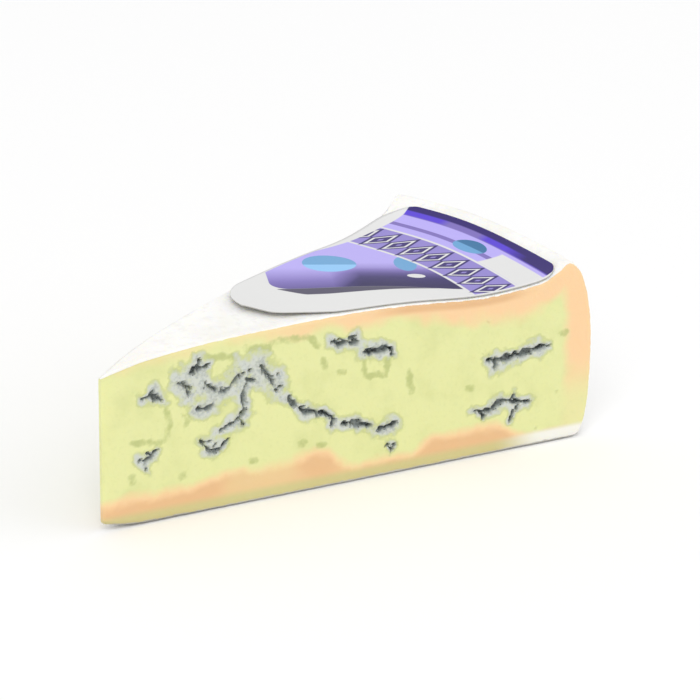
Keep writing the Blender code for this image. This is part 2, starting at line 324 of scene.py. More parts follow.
def lineObject(name, lines):
    # lines as chains of edges on the two cuts, with their sizes as attributes
    places, edges, sizes = [], [], {"halfWidth": [], "dark": [], "reach": []}
    chance = random.Random(name)
    for side, (halfWidth, dark, reach, path) in lines:
        swing = [chance.uniform(0, math.tau) for _ in range(3)]
        for i, (distance, height) in enumerate(path):
            if i:
                edges.append((len(places) - 1, len(places)))
            onward, aside = distance * math.cos(halfAngle), distance * math.sin(halfAngle)
            places.append((axisX + onward, side * aside, height))
            taper = math.sin(math.pi * (i + 0.6) / (len(path) + 0.2)) ** 0.5
            waves = [math.sin(i * pace + start) for pace, start in zip((0.5, 0.33, 0.21), swing)]
            sizes["halfWidth"].append(halfWidth * taper * (0.8 + 0.35 * waves[0]))
            sizes["dark"].append(dark * (0.75 + 0.25 * waves[1]))
            sizes["reach"].append(reach * (0.95 + 0.3 * waves[2]))
    mesh = bpy.data.meshes.new(name)
    mesh.from_pydata(places, edges, [])
    for key, values in sizes.items():
        mesh.attributes.new(key, "FLOAT", "POINT").data.foreach_set("value", values)
    lines = bpy.data.objects.new(name, mesh)
    bpy.context.scene.collection.objects.link(lines)
    return lines


def mouldLines():
    cracks = [
        (side, branch)
        for side, group in ((-1, nearCracks), (1, farCracks()))
        for name, crack in group.items()
        for branch in branched(name, *crack)
    ]
    chance = random.Random(farRule["faintSeed"])
    rise = farRule["faintRise"]
    marks = [(-1, line) for line in faintLines]
    for _ in range(farRule["faintMarks"]):
        spot = Vector([chance.uniform(*span) for span in farRule["faintStarts"]])
        stretch = Vector((chance.uniform(*farRule["faintLengths"]), chance.uniform(-rise, rise)))
        marks.append((1, [spot, spot + stretch]))
    faint = [(side, (*faintSizes, smoothPath(line))) for side, line in marks]
    return lineObject("cracks", cracks), lineObject("faintMarks", faint)


# the cheese: a box whose sides become the two knife cuts, the rind, the rim and the tip
cheeseLook = {
    "pointsAlong": 301, "pointsAcross": 53, "pointsUp": 91,
    "crackDepth": 1.7,
    "crackRaggedness": 1.8,
    "cloudRaggedness": 1.6,  # against each cloud's own reach
    "faintRaggedness": 2.0,
    "lowerRind": 0.75,  # below 1, the lower rind is thicker than the upper
    "pitSpacing": 4.5,
    "pitRadius": 0.55,
    "pitDepth": 0.5,
    "cutGrain": 0.16,  # how deep the knife's drag marks are
    "rindSwell": 0.22,
    "rindNap": 0.16,  # the bloom's small lumps
    "arrisWear": 0.3,  # how far the cut's edges are worn in
    "paste": "#E0E2A3",
    "pasteDark": "#C9CE8C",
    "ripened": "#F4CC9E",  # the riper zone next to the rind
    # a darker ripe tone, used in the riper zone near the lower rind and as painted shadow under the
    # label's near edge
    "ripenedDark": "#E2B788",
    "ripeSpans": (140.0, 12.0),  # how much length and rise the next table may cover
    "ripeRise": [  # places along the wedge, and how far the lower ripe zone rises there
        (-70, -0.6), (-42, -0.6), (-34, 1.6), (-8, 1.6), (-2, -3.4), (13, -3.4), (18, 0), (36, 0),
        (43, -5), (70, -5),
    ],
    "underRind": "#C3C78A",  # where the paste is soft and see-through above the lower rind
    "rind": "#FDFCF8",
    "rindGrey": "#F0EEE8",
    "rindUnder": "#BDBAB1",  # greyer where the wheel lay on its mat, and darker as painted shade near the floor
    "mouldPale": "#CBCFC9",
    "mouldMiddle": "#878F8D",
    # near black: dark mould in the cracks' depths, darkened further as painted shade
    "mouldDark": "#2C3131",
    "mouldFringe": "#B4BC78",
}


def cutWedgeTree():
    tree, given, result = newTree("cutWedge", {
        "Float": [
            "wheelRadius", "sliceAngle", "tipRadius", "crackDepth", "crackRaggedness",
            "cloudRaggedness", "faintRaggedness", "lowerRind", "pitSpacing", "pitRadius",
            "pitDepth", "cutGrain", "rindSwell", "rindNap", "arrisWear",
        ],
        "Int": ["pointsAlong", "pointsAcross", "pointsUp"],
        "Object": ["cracks", "faintMarks"],
        "Material": ["finish"],
    })
    add = partial(addNode, tree)

    # the box, and each point's share of the way along, across and up
    box = add("GeometryNodeMeshCube", {
        "Size": (1, 1, 1), "Vertices X": given["pointsAlong"],
        "Vertices Y": given["pointsAcross"], "Vertices Z": given["pointsUp"],
    })
    place = add("GeometryNodeInputPosition")
    x, y, z = add("ShaderNodeSeparateXYZ", [place]).node.outputs
    shareAlong = add(maths, [x, 0.5], operation="ADD")
    shareUp = add(maths, [z, 0.5], operation="ADD")
    turn = add(maths, [y, given["sliceAngle"]], operation="MULTIPLY")

    # the rim's rounding and the heights of both rinds
    rimLine = add("ShaderNodeFloatCurve", {"Value": shareUp})
    shares = [(1 - math.cos(math.pi * i / 48)) / 2 for i in range(49)]
    fillCurve(rimLine, [(s, rimRadius(s) / wheel["wheelRadius"]) for s in shares])
    rim = add(maths, [rimLine, given["wheelRadius"]], operation="MULTIPLY")
    reach = add(maths, [rim, given["tipRadius"]], operation="SUBTRACT")
    radius = add(maths, [reach, shareAlong, given["tipRadius"]], operation="MULTIPLY_ADD")
    radiusShare = add(maths, [radius, given["wheelRadius"]], operation="DIVIDE")
    topLine = add("ShaderNodeFloatCurve", {"Value": radiusShare})
    fillCurve(topLine, [
        (i / 80, along(wheel["topLine"], wheel["wheelRadius"] * i / 80) / wheel["tallest"])
        for i in range(81)
    ])
    top = add(maths, [topLine, wheel["tallest"]], operation="MULTIPLY")
    nearTip = add(maths, [radius, -1 / wheel["tipUndercutLength"], 1.0],
                  operation="MULTIPLY_ADD", use_clamp=True)
    nearTip = add(maths, [nearTip, nearTip], operation="MULTIPLY")
    bottom = add(maths, [nearTip, wheel["tipUndercut"]], operation="MULTIPLY")
    tall = add(maths, [top, bottom], operation="SUBTRACT")
    height = add(maths, [tall, shareUp, bottom], operation="MULTIPLY_ADD")

    # depth under the nearest rind, which is nought all over the rind, and distance from the cut
    fromTop = add(maths, [top, height], operation="SUBTRACT")
    fromBottom = add(maths, [height, bottom], operation="SUBTRACT")
    fromRim = add(maths, [rim, radius], operation="SUBTRACT")
    underTop = add(maths, [fromTop, fromRim], operation="MINIMUM")
    fromBottom = add(maths, [fromBottom, given["lowerRind"]], operation="MULTIPLY")
    depth = add(maths, [underTop, fromBottom], operation="MINIMUM")
    aside = add(maths, [turn], operation="ABSOLUTE")
    aside = add(maths, [halfAngle, aside], operation="SUBTRACT")
    fromArris = add(maths, [aside, radius, depth], operation="MULTIPLY_ADD")
    for name, value in (("rindDepth", depth), ("underTop", underTop), ("fromArris", fromArris)):
        box = add("GeometryNodeStoreNamedAttribute", {
            "Geometry": box, "Name": name, "Value": value,
        })

    # the low waves of the rim and of the upper rind
    lean = add(maths, [height, math.tau / wheel["rimWaveRise"], math.tau * wheel["rimWaveStart"]],
               operation="MULTIPLY_ADD")
    phase = add(maths, [turn, math.tau * wheel["wheelRadius"] / wheel["rimWaveLength"], lean],
                operation="MULTIPLY_ADD")
    upDown = add(maths, [add(maths, [shareUp, math.pi], operation="MULTIPLY")], operation="SINE")
    swell = add(maths, [add(maths, [phase], operation="SINE"), upDown], operation="MULTIPLY")
    pullIn = add(maths, [swell, -wheel["rimWave"], wheel["rimWave"]], operation="MULTIPLY_ADD")
    inZone = add(maths, [radius, 1 / wheel["rimZone"], 1 - wheel["wheelRadius"] / wheel["rimZone"]],
                 operation="MULTIPLY_ADD", use_clamp=True)
    pullIn = add(maths, [pullIn, inZone], operation="MULTIPLY")
    radius = add(maths, [radius, pullIn], operation="SUBTRACT")
    forward = add(maths, [radius, add(maths, [turn], operation="COSINE")], operation="MULTIPLY")
    sideways = add(maths, [radius, add(maths, [turn], operation="SINE")], operation="MULTIPLY")
    a, b, c, d = wheel["rindWaveSpans"]
    bend = add(maths, [add(maths, [sideways, b], operation="DIVIDE")], operation="SINE")
    bend = add(maths, [bend, wheel["rindWaveBend"]], operation="MULTIPLY")
    firstWave = add(maths, [forward, 1 / a, bend], operation="MULTIPLY_ADD")
    crossing = add(maths, [sideways, 1 / c, wheel["rindWaveStart"]], operation="MULTIPLY_ADD")
    crossing = add(maths, [forward, -1 / d, crossing], operation="MULTIPLY_ADD")
    waves = add(maths, [
        add(maths, [firstWave], operation="SINE"), add(maths, [crossing], operation="SINE"),
    ], operation="ADD")
    upperHalf = add(maths, [shareUp, 2.0, -1.0], operation="MULTIPLY_ADD", use_clamp=True)
    upperHalf = add(maths, [upperHalf, wheel["rindWave"] / 2], operation="MULTIPLY")
    box = add("GeometryNodeSetPosition", {
        "Geometry": box,
        "Position": add("ShaderNodeCombineXYZ", [
            add(maths, [forward, axisX], operation="ADD"), sideways,
            add(maths, [waves, upperHalf, height], operation="MULTIPLY_ADD"),
        ]),
    })

    # cracks: how near the closest one is, against its own width and reach
    underRind = add("GeometryNodeInputNamedAttribute", {"Name": "rindDepth"})
    onCut = add(mapRange, [underRind, 0.2, 1.0], interpolation_type="SMOOTHSTEP")
    near, lines = {}, {}
    for name in ("cracks", "faintMarks"):
        lines[name] = add("GeometryNodeObjectInfo", {"Object": given[name]}, out="Geometry")
        near[name] = add("GeometryNodeProximity", [lines[name]], target_element="EDGES",
                         out="Distance")
    nearest = add("GeometryNodeSampleNearest", {"Geometry": lines["cracks"]})
    halfWidth, dark, spread = (
        add("GeometryNodeSampleIndex", {
            "Geometry": lines["cracks"], "Index": nearest,
            "Value": add("GeometryNodeInputNamedAttribute", {"Name": name}),
        })
        for name in ("halfWidth", "dark", "reach")
    )
    ragged = []
    for scale, amount, line in (
        (0.75, given["crackRaggedness"], "cracks"),
        (0.26, add(maths, [spread, given["cloudRaggedness"]], operation="MULTIPLY"), "cracks"),
        (0.6, given["faintRaggedness"], "faintMarks"),
    ):
        cloud = add(noise, {"Vector": place, "Scale": scale, "Detail": 3.0, "Roughness": 0.55})
        cloud = add(maths, [cloud, 0.5], operation="SUBTRACT")
        ragged.append(add(maths, [cloud, amount, near[line]], operation="MULTIPLY_ADD"))
    wall = add(maths, [ragged[0], halfWidth], operation="DIVIDE")
    crack = add(mapRange, [wall, 1.15, 0.35], interpolation_type="SMOOTHSTEP")
    beyond = add(maths, [ragged[1], halfWidth], operation="SUBTRACT")
    halo = add(mapRange, [add(maths, [beyond, spread], operation="DIVIDE"), 1.0, 0.0])
    faint = add(mapRange, [ragged[2], 1.8, 0.2], interpolation_type="SMOOTHSTEP")
    crack, halo, faint = (
        add(maths, [value, onCut], operation="MULTIPLY") for value in (crack, halo, faint)
    )
    # where two cracks meet, their clouds run into each other
    halo, dark = (
        add("GeometryNodeBlurAttribute", {"Value": value, "Iterations": 5})
        for value in (halo, dark)
    )

    # small pits left where the curds met
    perMillimetre = add(maths, [1.0, given["pitSpacing"]], operation="DIVIDE")
    cell = add("ShaderNodeTexVoronoi", {"Vector": place, "Scale": perMillimetre}).node.outputs
    pitReach = add(maths, [cell["Distance"], given["pitSpacing"]], operation="MULTIPLY")
    pit = add(mapRange, [pitReach, given["pitRadius"], 0.1], interpolation_type="SMOOTHSTEP")
    chosen = add(maths, [add("ShaderNodeSeparateXYZ", [cell["Color"]]), 0.3], operation="LESS_THAN")
    pit = add(maths, [pit, chosen], operation="MULTIPLY")

    # relief, all of it inwards: the knife drags along the cut, and the rind is lumpy
    stretched = add("ShaderNodeVectorMath", [place, (0.35, 0.35, 1.4)], operation="MULTIPLY")
    grain = add(noise, {"Vector": stretched, "Scale": 0.5, "Detail": 4.0})
    swells = add(noise, {"Vector": place, "Scale": 0.09, "Detail": 1.0})
    nap = add(noise, {"Vector": place, "Scale": 0.7, "Detail": 3.0})
    onRind = add(maths, [1.0, onCut], operation="SUBTRACT")
    fromArris = add("GeometryNodeInputNamedAttribute", {"Name": "fromArris"})
    worn = add(mapRange, [fromArris, 0.9, 0.0], interpolation_type="SMOOTHSTEP")
    relief = 0.0
    for pattern, size, where in (
        (crack, "crackDepth", onCut), (pit, "pitDepth", onCut), (grain, "cutGrain", onCut),
        (swells, "rindSwell", onRind), (nap, "rindNap", onRind), (worn, "arrisWear", 1.0),
    ):
        part = add(maths, [pattern, where], operation="MULTIPLY")
        relief = add(maths, [part, given[size], relief], operation="MULTIPLY_ADD")
    for name, value in (("crack", crack), ("halo", halo), ("dark", dark), ("faint", faint)):
        box = add("GeometryNodeStoreNamedAttribute", {
            "Geometry": box, "Name": name, "Value": value,
        })
    inward = add("ShaderNodeVectorMath", {
        0: add("GeometryNodeInputNormal"),
        "Scale": add(maths, [relief, -1.0], operation="MULTIPLY"),
    }, operation="SCALE")
    box = add("GeometryNodeSetPosition", {"Geometry": box, "Offset": inward})
    box = add("GeometryNodeRemoveAttribute", {"Geometry": box, "Name": "fromArris"})
    box = add("GeometryNodeTransform", {"Geometry": box, "Scale": (metre, metre, metre)})
    box = add("GeometryNodeSetMaterial", {"Geometry": box, "Material": given["finish"]})
    box = add("GeometryNodeRealizeInstances", {"Geometry": box})
    tree.links.new(box, result)
    return tree


def ripenedPasteMaterial():
    # Soft-ripened curd: a moist, slightly translucent cream, riper and warmer towards the rind,
    # a dry white bloom outside, and blue mould in the cracks that greys the curd around them.
    material, tree, shader = newMaterial("ripenedPasteAndBloom")
    add = partial(addNode, tree)
    look = cheeseLook
    objectPlace = add("ShaderNodeTexCoord", out="Object")
    place = add("ShaderNodeVectorMath", {0: objectPlace, "Scale": 1 / metre}, operation="SCALE")
    forward, _, up = add("ShaderNodeSeparateXYZ", [place]).node.outputs
    source = {"forward": forward, "up": up}
    for name in ("rindDepth", "underTop", "crack", "halo", "dark", "faint"):
        source[name] = add("ShaderNodeAttribute", attribute_name=name, out="Fac")
    for name, scale, detail in (  # scales are per millimetre: 0.05 is 20 mm, 4 is 0.25 mm
        ("stretches", 0.05, 1), ("broad", 0.06, 3), ("ripening", 0.09, 2), ("clouds", 0.13, 3),
        ("wetness", 0.4, 3), ("breakUp", 0.42, 4), ("felt", 0.5, 2), ("curds", 1.1, 2),
        ("streaks", 1.2, 3), ("spores", 1.6, 2), ("surface", 1.2, 3), ("pores", 4.0, 3),
    ):
        source[name] = add(noise, {"Vector": place, "Scale": scale, "Detail": detail})
    # the curve runs from 0 to 1 both ways, with nought at a half
    length, tall = look["ripeSpans"]
    rise = add("ShaderNodeFloatCurve", {
        "Value": add(maths, [forward, 1 / length, 0.5], operation="MULTIPLY_ADD"),
    })
    fillCurve(rise, [(x / length + 0.5, y / tall + 0.5) for x, y in look["ripeRise"]])
    for name, *values in (  # first times second, plus third
        ("ripeTop", "forward", -0.05, "underTop"), ("ripeEdge", "ripening", -10.0, "ripeTop"),
        ("lowered", rise, -tall, "up"), ("lowTop", "lowered", 1.0, tall / 2),
        ("lowEdge", "clouds", -5.0, "lowTop"),
        ("rindEdge", "felt", 0.8, "rindDepth"), ("fine", "pores", 0.4, "surface"),
        ("cloud", "breakUp", 1.8, "halo"), ("mottle", "streaks", 1.5, "halo"),
        ("bruise", "faint", "breakUp", 0.0),
    ):
        values = [source.get(value, value) for value in values]
        source[name] = add(maths, values, operation="MULTIPLY_ADD")

    # each mask: what it reads, where that gives the first value, where the second, and both
    mask = {}
    for name, read, low, high, least, most in (
        ("clouds", "clouds", 0.45, 0.75, 0, 0.35),
        ("curds", "curds", 0.5, 0.75, 0, 0.16),
        ("ripe", "ripeEdge", 1.0, -3.0, 0, 0.95),
        ("ripeForward", "forward", -50, 5, 0.3, 1),
        ("ripeUpward", "up", 9, 22, 0.15, 1),
        ("low", "lowEdge", 6.8, 3.6, 0, 0.9),
        ("lower", "lowEdge", 4.8, 2.4, 0, 0.9),
        ("lowest", "up", 4.2, 1.8, 0, 0.7),
        ("lowRind", "up", 4.2, 2.6, 0, 0.95),
        ("rimward", "forward", 34, 48, 0, 1),
        ("inStretches", "stretches", 0.38, 0.52, 0.6, 1),
        # painted shadow: a darker band just under the cut's top edge, where the label's edge shades
        # the cut face
        ("topEdge", "underTop", 3.0, 1.6, 0, 1),
        ("topFrom", "forward", 0, 12, 0, 1),
        ("topTo", "forward", 46, 36, 0, 1),
        ("bruise", "bruise", 0.16, 0.62, 0, 0.8),
        ("around", "halo", 0.02, 0.3, 0, 1),
        ("fringe", "cloud", 0.95, 1.3, 0, 0.55),
        ("greyed", "cloud", 1.15, 1.75, 0, 0.95),
        ("mottled", "mottle", 1.35, 2.0, 0, 0.55),
        ("darkest", "dark", 0.35, 0.85, 0.1, 1),
        ("wall", "crack", 0.05, 0.6, 0, 0.8),
        ("wallDark", "dark", 0.2, 0.6, 0.45, 1),
        ("deep", "crack", 0.4, 0.85, 0, 1),
        ("spores", "spores", 0.36, 0.6, 0.4, 1),
        ("bloom", "rindEdge", 1.0, 0.7, 0, 1),
        ("rindClouds", "broad", 0.42, 0.7, 0, 0.6),
        ("rindPatches", "breakUp", 0.5, 0.68, 0, 0.5),
        # painted shade: the rind darkens over its lowest 2.8 mm towards the floor, partly as real
        # grey from the mat
        ("onMat", "up", 2.8, 1.2, 0, 1),
        ("wet", "wetness", 0.3, 0.7, 0.36, 0.55),
    ):
        mask[name] = add(mapRange, [source[read], low, high, least, most],
                         interpolation_type="SMOOTHSTEP")
    layers = {
        "rind": [
            ("rindGrey", "rindClouds"), ("rindGrey", "rindPatches"), ("rindUnder", "onMat"),
        ],
        "paste": [
            ("pasteDark", "clouds"), ("pasteDark", "curds"),
            ("ripened", "ripe", "ripeForward", "ripeUpward"),
            # the first layer here is painted shadow of the label's edge along the top of the cut
            # face
            ("ripenedDark", "topEdge", "topFrom", "topTo"), ("ripened", "low", "inStretches"),
            ("ripenedDark", "lower", "inStretches"), ("underRind", "lowest"),
            ("rindGrey", "lowRind", "rimward"),
            ("mouldFringe", "bruise"), ("mouldFringe", "fringe", "around"),
            ("mouldPale", "greyed", "around"), ("mouldMiddle", "mottled", "around"),
            # last layer: painted shade, the deepest parts of the cracks painted near black over the
            # dark mould
            ("mouldMiddle", "wall", "wallDark"), ("mouldDark", "deep", "darkest", "spores"),
        ],
    }
    colours = {}
    for base, rows in layers.items():
        colour = linear(look[base])
        for tone, *names in rows:
            strength = mask[names[0]]
            for name in names[1:]:
                strength = add(maths, [strength, mask[name]], operation="MULTIPLY")
            colour = add(mix, {0: strength, 6: colour, 7: linear(look[tone])}, out=2,
                         data_type="RGBA")
        colours[base] = colour
    colour = add(mix, {0: mask["bloom"], 6: colours["paste"], 7: colours["rind"]}, out=2,
                 data_type="RGBA")
    tree.links.new(colour, shader.inputs["Base Color"])
    roughness = add(mix, {0: mask["bloom"], 2: mask["wet"], 3: 0.92})
    tree.links.new(roughness, shader.inputs["Roughness"])
    nap = add(maths, [source["felt"], mask["bloom"]], operation="MULTIPLY")
    relief = add(maths, [nap, 3.0, source["fine"]], operation="MULTIPLY_ADD")
    bump = add("ShaderNodeBump", {"Strength": 0.35, "Distance": 0.0002, "Height": relief})
    tree.links.new(bump, shader.inputs["Normal"])
    for name, value in (
        ("Subsurface Weight", 0.25), ("Subsurface Radius", (1.0, 0.8, 0.45)),
        ("Subsurface Scale", 0.003), ("IOR", 1.45),
    ):
        shader.inputs[name].default_value = value
    return material


def makeCheese():
    cracks, faintMarks = mouldLines()
    cheese = runTree("cheese", cutWedgeTree(), {
        **wheel, **cheeseLook, "sliceAngle": 2 * halfAngle, "cracks": cracks,
        "faintMarks": faintMarks, "finish": ripenedPasteMaterial(),
    })
    for lines in (cracks, faintMarks):
        bpy.data.objects.remove(lines, do_unlink=True)
    cheese.data.shade_smooth()
    cheese.data.set_sharp_from_angle(angle=math.radians(60))
    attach(cheese, "root")
    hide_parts("cheese_wedge")
    print("cheese:", len(cheese.data.vertices), "points")
    return cheese


# mould tufts: small furry lumps that line the cracks
tuftLook = {
    "perSquareMillimetre": 2.5,
    "smallest": 0.07,
    "largest": 0.22,
    "seed": 7,
    "dark": "#414847",
    "pale": "#949C9A",
}


def mouldTuftTree():
    tree, given, result = newTree("mouldTufts", {
        "Object": ["cheese"], "Float": ["perSquareMillimetre", "smallest", "largest"],
        "Int": ["seed"], "Material": ["finish"],
    })
    add = partial(addNode, tree)
    surface = add("GeometryNodeObjectInfo", {"Object": given["cheese"]}, out="Geometry")
    crack, dark = (
        add("GeometryNodeInputNamedAttribute", {"Name": name}) for name in ("crack", "dark")
    )
    thickest = add(maths, [given["perSquareMillimetre"], metre**2], operation="DIVIDE")
    density = add(mapRange, [crack, 0.3, 0.9, 0.0, thickest])
    darker = add(mapRange, [dark, 0.3, 0.7, 0.25, 1.0])  # dark cracks are furred the most
    density = add(maths, [density, darker], operation="MULTIPLY")
    points = add("GeometryNodeDistributePointsOnFaces", {
        "Mesh": surface, "Density": density, "Seed": given["seed"],
    })
    lumps = add("GeometryNodeInstanceOnPoints", {
        "Points": points,
        "Instance": add("GeometryNodeMeshIcoSphere", {"Radius": metre, "Subdivisions": 1}),
        "Rotation": add("FunctionNodeRandomValue", {1: (6.28, 6.28, 6.28), "Seed": 2},
                        data_type="FLOAT_VECTOR"),
        "Scale": add("FunctionNodeRandomValue", {
            2: given["smallest"], 3: given["largest"], "Seed": 1,
        }, out=1),
    })
    lumps = add("GeometryNodeStoreNamedAttribute", {
        "Geometry": lumps, "Name": "tone",
        "Value": add("FunctionNodeRandomValue", {"Seed": 3}, out=1),
    }, domain="INSTANCE")
    lumps = add("GeometryNodeRealizeInstances", {"Geometry": lumps})
    lumps = add("GeometryNodeSetMaterial", {"Geometry": lumps, "Material": given["finish"]})
    tree.links.new(lumps, result)
    return tree


def blueMouldMaterial():
    # Blue mould: dry spore felt, slate to pale grey from lump to lump, with no gloss at all.
    material, tree, shader = newMaterial("blueMould")
    tone = addNode(tree, "ShaderNodeAttribute", attribute_name="tone", out="Fac")
    colour = addNode(tree, mix, {
        0: tone, 6: linear(tuftLook["dark"]), 7: linear(tuftLook["pale"]),
    }, out=2, data_type="RGBA")
    tree.links.new(colour, shader.inputs["Base Color"])
    shader.inputs["Roughness"].default_value = 1.0
    shader.inputs["Sheen Weight"].default_value = 0.2
    return material


def makeTufts(cheese):
    tufts = runTree("mouldTufts", mouldTuftTree(), {
        **tuftLook, "cheese": cheese, "finish": blueMouldMaterial(),
    })
    tufts.data.shade_smooth()
    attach(tufts, "root")
    print("mould tufts:", len(tufts.data.polygons), "faces")


# the label: a sector of printed paper that follows the rind and lifts at its inner end
labelLook = {
    "innerRadius": 44.6,
    "outerRadius": 120.5,
    "edges": {  # distance from the axis, then from the near (-1) and the far (1) knife cut
        -1: [
            (44.6, 12.6), (45.2, 11.3), (46.0, 9.5), (46.9, 7.5), (48, 5.9), (50, 4.8), (54, 3.5),
            (58, 2.1), (63, 0.9), (80, 0.4),
        ],
        1: [
            (44.6, 9.5), (45.1, 7.4), (46.1, 5.3), (48.4, 3.2), (51.4, 1.6), (55, 0.9), (80, 0.9),
        ],
    },
    "rimCorners": {-1: 3.5, 1: 8.0},
    "thickness": 0.25,
    "gap": 0.25,  # between the rind and the paper
    "noseLift": 1.1,
    "liftFrom": 68.0,  # nearer the axis than this, the paper lifts
    "liftPower": 2,
    "cells": (150, 56),
    "printSlant": 18.6,  # degrees from the near cut to the picture's lower edge
    "printStart": 35.9,  # from the axis to the picture's lower edge
    "lozengePitch": 5.8,
    "lozengeRing": 103.4,  # from the axis to the middle of the row
    "lozengeHalfWide": 2.7,
    "lozengeHalfTall": 5.4,
    "ovals": [  # name, middle and half sizes
        ("moon", {"across": 61.0, "over": 17.2}, (6.5, 6.1)),
        ("seed", {"across": 79.3, "over": 17.0}, (2.7, 5.2)),
        ("grain", {"across": 80.6, "over": 8.2}, (2.2, 1.4)),
        ("leaf", {"fromNear": 27.0, "fromAxis": 113.8}, (4.9, 2.8)),
        ("corner", {"across": 49.4, "over": 4.4}, (4.5, 4.4)),
    ],
    # each layer of ink: its colour, and its edges as a place to read, where it is bare and where
    # it is full; most edges are 0.2 mm soft, as ink on paper
    "inks": [
        ("violet", ("deepening", 0.0, 0.4)),
        ("indigo", ("deepening", 0.4, 0.8)),
        ("midnight", ("deepening", 0.7, 1.0)),
        ("skyBlue", ("moon", 1.03, 0.97)),
        ("paleBlue", ("moon", 1.03, 0.97), ("over", 16.6, 16.2)),
        ("skyBlue", ("seed", 1.05, 0.95)),
        ("paper", ("grain", 1.06, 0.94)),
        ("paper", ("over", 0.08, -0.08)),
        ("paper", ("corner", 0.98, 1.02)),
        ("keyline", ("line", -0.1, 0.1), ("over", 0.1, -0.1), ("across", 46.0, 46.6)),
        ("paper", ("fromAxis", 97.3, 97.5)),
        ("mauve", ("fromAxis", 98.1, 98.3)),
        ("indigo", ("lozenge", 1.12, 1.06)),
        ("paper", ("lozenge", 0.86, 0.82)),
        ("indigo", ("lozenge", 0.64, 0.6)),
        ("mauve", ("lozenge", 0.2, 0.16)),
        ("paper", ("fromAxis", 109.0, 109.2)),
        ("lavender", ("fromAxis", 109.7, 109.9)),
        ("violet", ("fromAxis", 112.2, 112.4)),
        ("lavender", ("fromAxis", 113.7, 113.9)),
        ("skyBlue", ("leaf", 1.04, 0.96)),
        ("seaBlue", ("leaf", 1.04, 0.96), ("fromAxis", 113.7, 113.9)),
        ("paper", ("fromAxis", 109.7, 109.9), ("fromAxis", 116.6, 116.4),
         ("fromNear", 18.8, 18.4)),
        ("violet", ("fromAxis", 117.3, 117.6)),
        ("vivid", ("fromAxis", 117.5, 117.8), ("fromNear", 40.0, 43.0)),
        ("vivid", ("fromAxis", 117.5, 117.8), ("fromNear", 30.0, 27.0)),
        ("indigo", ("fromAxis", 118.9, 119.2)),
        ("indigo", ("fromAxis", 117.6, 117.9), ("fromNear", 20.0, 12.0)),
        ("paper", ("farMargin", 1.5, 1.3)),
        ("paper", ("fromNear", 1.2, 1.0)),
    ],
    "paper": "#E6E6E5",
    # the paper's back and cut edge: off-white darkened to grey as painted shadow along the label's
    # edge
    "edge": "#C4C3BF",
    "keyline": "#504C63",
    "lavender": "#BDB1F8",
    "violet": "#8273BE",
    "indigo": "#382A72",
    "midnight": "#1E0C54",
    "vivid": "#5F47D7",
    "mauve": "#9588D2",
    "paleBlue": "#94CCFB",
    "skyBlue": "#6CA8D8",
    "seaBlue": "#3C77A4",
}


def labelEdge(radius, side):
    # the angle of the label's edge from the wedge's middle line
    width = radius * math.sin(halfAngle) - along(labelLook["edges"][side], radius)
    corner, t = labelLook["rimCorners"][side], labelLook["outerRadius"] - radius
    if t < corner:
        width += math.sqrt(max(corner**2 - (corner - t) ** 2, 0)) - corner
    return side * math.asin(width / radius)


